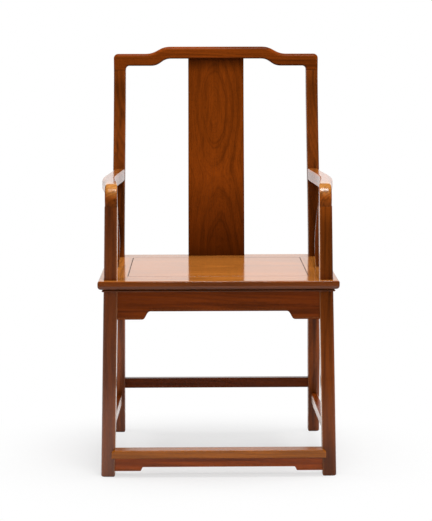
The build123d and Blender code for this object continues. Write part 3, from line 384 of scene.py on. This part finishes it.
def oval_rings(tree, wood, place):
    """Nested loops high on the board over a flame figure that rises from its foot."""
    across, _, along = tree.parts(place)
    sway = tree.noise(tree.scaled(place, SPLAT_SWAY_SCALE)) - 0.5
    wander = tree.noise(tree.scaled(place, SPLAT_WANDER_SCALE)) - 0.5
    distances = []
    for (middle_x, middle_z), (half_x, half_z) in (
        (SPLAT_OVAL_CENTRE, SPLAT_OVAL_SIZE), (SPLAT_TIP_CENTRE, SPLAT_TIP_SIZE),
    ):
        flat = (across - middle_x + sway * SPLAT_SWAY[0]) / half_x
        tall = (along - middle_z + sway * SPLAT_SWAY[1]) / half_z
        distances.append((flat * flat + tall * tall) ** 0.5)
    distance = distances[0].math("SMOOTH_MIN", distances[1], SPLAT_JOIN) + wander * SPLAT_WANDER
    fine = tree.step(tree.noise_line(distance * SPLAT_FINE_LOOPS), *SPLAT_FINE_LIMITS)
    loop = (distance * (2 * pi / SPLAT_LOOP)).math("COSINE") * 0.5 + 0.5
    loop = loop ** SPLAT_LOOP_POWER * tree.levels(across, SPLAT_LOOP_SIDES)
    loop = loop * tree.step(distance, *SPLAT_LOOP_START)
    return loop * SPLAT_LOOP_SHARE + fine * (1.0 - SPLAT_LOOP_SHARE)


# ------------------------------------------------------------------------ operators
class ChairWoods(bpy.types.PropertyGroup):
    """Colours of the chair's woods."""

    crest: FloatVectorProperty(name="Crest", description="Colour of the crest rail",
                               default=(0.152, 0.029, 0.002), size=3, subtype="COLOR")
    splat: FloatVectorProperty(name="Splat", description="Colour of the back splat",
                               default=(0.19, 0.036, 0.002), size=3, subtype="COLOR")
    post: FloatVectorProperty(name="Posts", description="Colour of the four posts",
                              default=(0.17, 0.036, 0.003), size=3, subtype="COLOR")
    # painted light: paler colour on the inner faces for the side light they catch
    cheek: FloatVectorProperty(name="Inner faces", description="Colour of rubbed inner faces",
                               default=(0.42, 0.16, 0.05), size=3, subtype="COLOR")
    arm: FloatVectorProperty(name="Arms", description="Colour of the arms' upright faces",
                             default=(0.17, 0.038, 0.004), size=3, subtype="COLOR")
    # painted light and highlight, besides scuffing, on the arms' tops
    arm_top: FloatVectorProperty(name="Arm tops", description="Colour of the arms' worn tops",
                                 default=(0.43, 0.17, 0.035), size=3, subtype="COLOR")
    seat: FloatVectorProperty(name="Seat edge", description="Colour of the seat frame's moulded edge",
                              default=(0.152, 0.035, 0.005), size=3, subtype="COLOR")
    # painted light: the upward face is paler than the edge for the light that falls on it
    seat_top: FloatVectorProperty(name="Seat top", description="Colour of the seat's upper face",
                                  default=(0.38, 0.126, 0.02), size=3, subtype="COLOR")
    apron: FloatVectorProperty(name="Aprons", description="Colour of the aprons and stretchers",
                               default=(0.17, 0.03, 0.002), size=3, subtype="COLOR")
    footrest: FloatVectorProperty(name="Footrest", description="Colour of the footrest",
                                  default=(0.31, 0.084, 0.005), size=3, subtype="COLOR")


class ChairStudio(bpy.types.PropertyGroup):
    """Studio levels."""

    key: FloatProperty(name="Key", description="Power of the front softbox",
                       default=40.0, min=0.0, unit="POWER")
    side: FloatProperty(name="Sides", description="Power of each side softbox",
                        default=60.0, min=0.0, unit="POWER")
    top: FloatProperty(name="Top", description="Power of the overhead softbox",
                       default=36.0, min=0.0, unit="POWER")
    back: FloatProperty(name="Back", description="Power of the softbox behind",
                        default=25.0, min=0.0, unit="POWER")
    glint: FloatProperty(name="Glint", description="Power of the small lamp that the polish shows",
                         default=40.0, min=0.0, unit="POWER")
    ambient: FloatProperty(name="Ambient", description="Level of the even fill",
                           default=0.3, min=0.0, max=1.0, subtype="FACTOR")


# Tone and polish of each upright piece, as (height, level) stops or as one level. The tones are painted
# light and shade: darker just above the seat and paler where the seat shades the back legs.
POST_CUTS = (
    ("front_right_post",
     ((0.03, 0.58), (0.14, 0.94), (0.27, 0.95), (0.41, 0.77), (0.54, 0.8), (0.62, 0.8), (0.68, 1.3)),
     ((0.14, 0.28), (0.25, 0.08), (0.4, 0.02))),
    ("front_left_post",
     ((0.03, 0.8), (0.14, 0.88), (0.27, 0.74), (0.41, 0.8), (0.54, 0.97), (0.62, 0.82)),
     ((0.14, 0.75), (0.27, 0.4), (0.4, 0.35), (0.62, 0.6))),
    ("back_right_post",
     ((0.08, 0.95), (0.27, 1.25), (0.45, 0.8), (0.56, 0.43),
      (0.65, 0.56), (0.82, 0.84), (0.95, 0.62), (0.99, 0.86)),
     ((0.08, 0.42), (0.27, 0.2), (0.52, 0.1), (0.82, 0.4), (0.95, 0.12))),
    ("back_left_post",
     ((0.08, 1.6), (0.27, 2.5), (0.45, 1.3), (0.56, 0.4),
      (0.65, 0.56), (0.82, 0.9), (0.95, 0.62), (0.99, 0.9)),
     ((0.27, 0.7), (0.5, 0.08), (0.62, 0.12), (0.82, 0.5), (0.95, 0.2))),
    ("right_arm_support", ((0.5, 0.8), (0.7, 0.7)), 0.4),
    ("left_arm_support", ((0.5, 0.8), (0.7, 0.7)), 0.5),
)
# painted shade: the splat darkens under the crest rail and towards its foot
SPLAT_TONES = ((0.5, 0.4), (0.53, 0.5), (0.61, 0.66), (0.73, 0.92), (0.86, 0.85), (0.98, 0.78), (1.02, 0.48))
ARM_CUTS = (("right_arm", 1.8, 2.0), ("left_arm", 1.3, 5.0))    # tone and seed; the right arm's higher tone is painted light for the brighter light and highlight on its elbow
ELBOW_WEAR_AND_LIGHT = ((90 * MM, 0.3), (50 * MM, 1.0))   # share of the paler top at distances behind an arm's front; the gold is part scuffing and part painted light and highlight
ELBOW_TONES = ((0.67, 0.5), (0.705, 1.0))       # painted shade that darkens the arm's turned end towards the post
SEAT_CUTS = (                                   # grain and seed
    ("seat_front_rail", "X", 1.0), ("seat_rear_rail", "X", 2.0), ("seat_right_rail", "Y", 3.0),
    ("seat_left_rail", "Y", 4.0), ("seat_panel", "X", 6.0),
)
APRON_CUTS = (                                  # grain, tone, polish and whether the inner face is painted paler for the side light it catches
    ("front_apron", "X", 1.0, 0.06, False), ("back_apron", "X", 0.9, 0.1, False),
    ("right_apron", "Y", 1.4, 0.2, False), ("left_apron", "Y", 1.4, 0.2, False),
    # the footrest apron's high tone is painted light under the footrest's shading lip
    ("footrest_apron", "X", 1.85, 0.25, False), ("right_side_stretcher", "Y", 1.4, 0.4, True),
    ("left_side_stretcher", "Y", 1.4, 0.4, True), ("back_stretcher", "X", 0.7, 0.25, False),
)


class FinishPosts(bpy.types.Operator):
    """Finish the four posts and the arm supports, their grain upright."""

    bl_idname = "hat_chair.finish_posts"
    bl_label = "Finish posts"

    def execute(self, context):
        woods = context.scene.chair_woods
        for index, (name, tones, polish) in enumerate(POST_CUTS):
            # front posts get a paler colour painted on their inner faces for the side light they catch
            cheek = woods.cheek if name.startswith("front") else None
            wood = Wood(woods.post, cheek=cheek, pith=(0.02, 0.045), pitch=0.0055, slope=0.012, rings=0.5,
                        streaks=0.95, tones=tones, polish=polish, wear_and_sheen=0.9, seed=3.1 * index)
            finish(name, wood)
        return {"FINISHED"}


class FinishCrest(bpy.types.Operator):
    """Finish the crest rail, its grain along it."""

    bl_idname = "hat_chair.finish_crest"
    bl_label = "Finish crest"

    def execute(self, context):
        wood = Wood(context.scene.chair_woods.crest, grain="X", pith=(0.03, 0.04), slope=0.02, rings=0.5,
                    streaks=0.8, patches=0.9, roughness=0.3, polish=0.02, gloss=0.02, wear_and_sheen=0.0, rim=0.35,
                    underside_shade=0.6)
        finish("crest_rail", wood, "crest_wood")
        return {"FINISHED"}


class FinishArms(bpy.types.Operator):
    """Finish the arms, golden on their tops, which are scuffed and painted with light and highlight."""

    bl_idname = "hat_chair.finish_arms"
    bl_label = "Finish arms"

    def execute(self, context):
        woods = context.scene.chair_woods
        for name, level, seed in ARM_CUTS:
            front = -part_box(name)[0].y
            reach = tuple((front - behind, share) for behind, share in ELBOW_WEAR_AND_LIGHT)
            wood = Wood(shaded(woods.arm, level), woods.arm_top, grain="Y", pith=(0.03, 0.04), slope=0.02,
                        rings=0.5, streaks=0.8, roughness=0.18, polish=0.55, gloss=0.85, reach=reach,
                        tones=ELBOW_TONES, dents=0.3, seed=seed)
            finish(name, wood)
        return {"FINISHED"}


class FinishSplat(bpy.types.Operator):
    """Finish the splat as one figured board."""

    bl_idname = "hat_chair.finish_splat"
    bl_label = "Finish splat"

    def execute(self, context):
        wood = Wood(context.scene.chair_woods.splat, rings=0.65, streaks=0.3, patches=0.9, polish=0.08,
                    wear_and_sheen=0.0, rim=0.7, tones=SPLAT_TONES)
        finish("back_splat", wood, "splat_wood", oval_rings)
        return {"FINISHED"}


class FinishSeat(bpy.types.Operator):
    """Finish the seat frame and its panel with a high polish, and the battens below it plainly."""

    bl_idname = "hat_chair.finish_seat"
    bl_label = "Finish seat"

    def execute(self, context):
        woods = context.scene.chair_woods
        for name, grain, seed in SEAT_CUTS:
            wood = Wood(woods.seat, woods.seat_top, grain=grain, pith=(0.05, 0.01), pitch=0.008, rings=0.4,
                        streaks=0.5, roughness=0.1, polish=0.45, gloss=0.6, level_top=(0.8, 0.98),
                        wear_and_sheen=0.05, rim=0.75, seed=seed)
            finish(name, wood)
        for index, name in enumerate(("right_seat_batten", "left_seat_batten")):
            finish(name, Wood(woods.apron, grain="Y", roughness=0.5, seed=index))
        return {"FINISHED"}


class FinishAprons(bpy.types.Operator):
    """Finish the aprons and stretchers."""

    bl_idname = "hat_chair.finish_aprons"
    bl_label = "Finish aprons"

    def execute(self, context):
        woods = context.scene.chair_woods
        for index, (name, grain, level, polish, sidelit) in enumerate(APRON_CUTS):
            wood = Wood(shaded(woods.apron, level), grain=grain, pith=(0.03, 0.05), pitch=0.007, rings=0.5,
                        streaks=0.8, cheek=woods.cheek if sidelit else None, polish=polish, gloss=0.9,
                        underside_shade=0.2, seed=1.7 * index)
            finish(name, wood)
        return {"FINISHED"}


class FinishFootrest(bpy.types.Operator):
    """Finish the footrest, dark along its edges."""

    bl_idname = "hat_chair.finish_footrest"
    bl_label = "Finish footrest"

    def execute(self, context):
        wood = Wood(context.scene.chair_woods.footrest, grain="X", pith=(0.03, 0.03), streaks=0.7,
                    patches=0.9, polish=0.35, gloss=0.9, wear_and_sheen=0.0, rim=0.6, seed=11.0)
        finish("footrest", wood)
        return {"FINISHED"}


# --------------------------------------------------------------------------- studio
CAMERA_PLACE = (-0.0484, -3.6018, 1.07)
CAMERA_TILT = 8.86              # degrees below level
CAMERA_TURN = -0.716            # degrees, anticlockwise from above
CAMERA_ROLL = -0.1
PICTURE_HEIGHT = 521            # pixels
FOCAL_PIXELS = 1401.0           # focal length in those pixels
SENSOR_MM = 36.0
FLOOR_FRONT = -2.9
FLOOR_BACK = 7.0
FLOOR_HALF = 6.0                # half of its width
FLOOR_PAINT = 0.74              # how much light the floor gives back to the chair
FLOOR_SEEN_PAINT = 0.52         # and how pale its shaded part looks
SHADOW_MIDDLE = (-0.04, -0.08)
SHADOW_REACH = (0.1, 0.5)       # where the floor starts and stops turning to plain white
SHADOW_NARROWING = 0.6          # share of its width that the shaded part keeps in depth
SHADOW_FILL = 0.54              # share of plain white glow in the middle of the shaded part, painted light that lightens the chair's shadow
FAR_FLOOR = (0.2, 1.2)          # where polish starts and stops seeing the floor turn to plain white
PAPER_HALF = 3.2                # half of the backdrop's width
PAPER_HEIGHT = 4.2
STUDIO_MIDDLE = (0.0, 0.0, 0.5)     # what every softbox is aimed at
SOFTBOXES = (                       # name, power setting, place, width, height, whether polish shows it
    ("key", "key", (0.5, -1.8, 2.8), 1.4, 1.4, False),
    ("side_right", "side", (2.8, 0.1, 1.5), 1.6, 1.6, False),
    ("side_left", "side", (-2.8, 0.1, 1.5), 1.6, 1.6, False),
    ("top", "top", (0.0, 0.1, 3.0), 1.8, 1.8, False),
    ("back", "back", (0.0, 3.0, 2.2), 2.0, 2.0, False),
    ("glint", "glint", (0.13, -0.6, 2.9), 0.85, 0.7, True),
)


def plane(name, corners):
    """Stage plane with the given corners, and its empty material."""
    builder = bmesh.new()
    builder.faces.new([builder.verts.new(corner) for corner in corners])
    mesh = bpy.data.meshes.new(name)
    builder.to_mesh(mesh)
    builder.free()
    piece = bpy.data.objects.new(name, mesh)
    bpy.context.scene.collection.objects.link(piece)
    material = bpy.data.materials.new(name)
    material.cycles.emission_sampling = "NONE"
    mesh.materials.append(material)
    return piece, Tree(material)


def add_floor():
    """Pale floor that keeps the shadow near the chair and turns white further out."""
    tree = plane("studio_floor", (
        (-FLOOR_HALF, FLOOR_FRONT, 0.0), (FLOOR_HALF, FLOOR_FRONT, 0.0),
        (FLOOR_HALF, FLOOR_BACK, 0.0), (-FLOOR_HALF, FLOOR_BACK, 0.0),
    ))[1]
    x, y, _ = tree.parts(tree.node("ShaderNodeTexCoord", output="Object"))
    aside = (x - SHADOW_MIDDLE[0]) * SHADOW_NARROWING
    forward = y - SHADOW_MIDDLE[1]
    radius = (aside * aside + forward * forward) ** 0.5
    ray = tree.node("ShaderNodeLightPath").link.node.outputs
    seen, glossy = Number(tree, ray["Is Camera Ray"]), Number(tree, ray["Is Glossy Ray"])
    bounced = tree.node("ShaderNodeBsdfDiffuse", {}, {"Color": rgba([FLOOR_PAINT] * 3)})
    looked_at = tree.node("ShaderNodeBsdfDiffuse", {}, {"Color": rgba([FLOOR_SEEN_PAINT] * 3)})
    paint = tree.node("ShaderNodeMixShader", {}, {0: seen, 1: bounced, 2: looked_at})
    glow = tree.node("ShaderNodeEmission", {}, {"Color": WHITE, "Strength": 1.0})
    # painted light: glow lifts the shadow near the chair and turns the floor white further out
    open_floor = tree.step(radius, *SHADOW_REACH) * (1.0 - SHADOW_FILL) + SHADOW_FILL
    share = open_floor * (seen + glossy * tree.step(y, *FAR_FLOOR))
    surface = tree.node("ShaderNodeMixShader", {}, {0: share, 1: paint, 2: glow})
    tree.node("ShaderNodeOutputMaterial", {}, {"Surface": surface})


def add_backdrop():
    """White paper behind the chair, which only its polish sees."""
    paper, tree = plane("studio_backdrop", (
        (-PAPER_HALF, FLOOR_BACK, 0.0), (PAPER_HALF, FLOOR_BACK, 0.0),
        (PAPER_HALF, FLOOR_BACK, PAPER_HEIGHT), (-PAPER_HALF, FLOOR_BACK, PAPER_HEIGHT),
    ))
    glow = tree.node("ShaderNodeEmission", {}, {"Color": WHITE, "Strength": 1.0})
    tree.node("ShaderNodeOutputMaterial", {}, {"Surface": glow})
    paper.visible_camera = False
    paper.visible_diffuse = False
    paper.visible_shadow = False


def add_world(ambient):
    """White surroundings to look at, and a soft even fill that leaves no haze on the polish."""
    world = bpy.data.worlds.new("studio")
    bpy.context.scene.world = world
    world.cycles_visibility.glossy = False
    tree = Tree(world)
    ray = tree.node("ShaderNodeLightPath").link.node.outputs
    level = Number(tree, ray["Is Camera Ray"]) * (1.0 - ambient) + ambient
    background = tree.node("ShaderNodeBackground", {}, {"Color": WHITE, "Strength": level})
    tree.node("ShaderNodeOutputWorld", {}, {"Surface": background})


def add_softbox(name, place, width, height, power, shown):
    """Area lamp aimed at the chair. Polish sees it only where that is asked for."""
    light = bpy.data.lights.new(name, "AREA")
    light.shape = "RECTANGLE"
    light.size = width
    light.size_y = height
    light.energy = power
    lamp = bpy.data.objects.new(name, light)
    lamp.visible_glossy = shown
    lamp.location = place
    lamp.rotation_euler = (Vector(STUDIO_MIDDLE) - Vector(place)).to_track_quat("-Z", "Y").to_euler()
    bpy.context.scene.collection.objects.link(lamp)


def add_camera():
    """Camera before the chair, looking a little down on it."""
    camera = bpy.data.cameras.new("camera")
    camera.sensor_fit = "VERTICAL"
    camera.sensor_height = SENSOR_MM
    camera.lens = FOCAL_PIXELS / PICTURE_HEIGHT * SENSOR_MM
    viewer = bpy.data.objects.new("camera", camera)
    turn = Matrix.Rotation(radians(CAMERA_TURN), 4, "Z")
    tilt = Matrix.Rotation(radians(90 - CAMERA_TILT), 4, "X")
    roll = Matrix.Rotation(radians(CAMERA_ROLL), 4, "Z")
    viewer.matrix_world = Matrix.Translation(CAMERA_PLACE) @ turn @ tilt @ roll
    bpy.context.scene.collection.objects.link(viewer)
    bpy.context.scene.camera = viewer


class SetStage(bpy.types.Operator):
    """Put the chair on a pale floor under soft studio light."""

    bl_idname = "hat_chair.set_stage"
    bl_label = "Set stage"

    def execute(self, context):
        studio = context.scene.chair_studio
        add_floor()
        add_backdrop()
        add_world(studio.ambient)
        for name, level, place, width, height, shown in SOFTBOXES:
            add_softbox(name, place, width, height, getattr(studio, level), shown)
        add_camera()
        context.scene.view_settings.view_transform = "Standard"
        return {"FINISHED"}


STEPS = (
    FinishPosts, FinishCrest, FinishArms, FinishSplat, FinishSeat, FinishAprons, FinishFootrest, SetStage,
)


class ChairPanel(bpy.types.Panel):
    """The steps that finish the chair."""

    bl_idname = "VIEW3D_PT_hat_chair"
    bl_label = "Hat Chair"
    bl_space_type = "VIEW_3D"
    bl_region_type = "UI"
    bl_category = "Hat Chair"

    def draw(self, context):
        for group in (context.scene.chair_woods, context.scene.chair_studio):
            for name in group.__annotations__:
                self.layout.prop(group, name)
        for step in STEPS:
            self.layout.operator(step.bl_idname)


CLASSES = (ChairWoods, ChairStudio, *STEPS, ChairPanel)


def register():
    for item in CLASSES:
        bpy.utils.register_class(item)
    bpy.types.Scene.chair_woods = PointerProperty(type=ChairWoods)
    bpy.types.Scene.chair_studio = PointerProperty(type=ChairStudio)


def unregister():
    del bpy.types.Scene.chair_studio
    del bpy.types.Scene.chair_woods
    for item in reversed(CLASSES):
        bpy.utils.unregister_class(item)


def main():
    """Finish the chair step by step."""
    register()
    for step in STEPS:
        area, name = step.bl_idname.split(".")
        getattr(getattr(bpy.ops, area), name)()


if __name__ == "__main__":
    main()
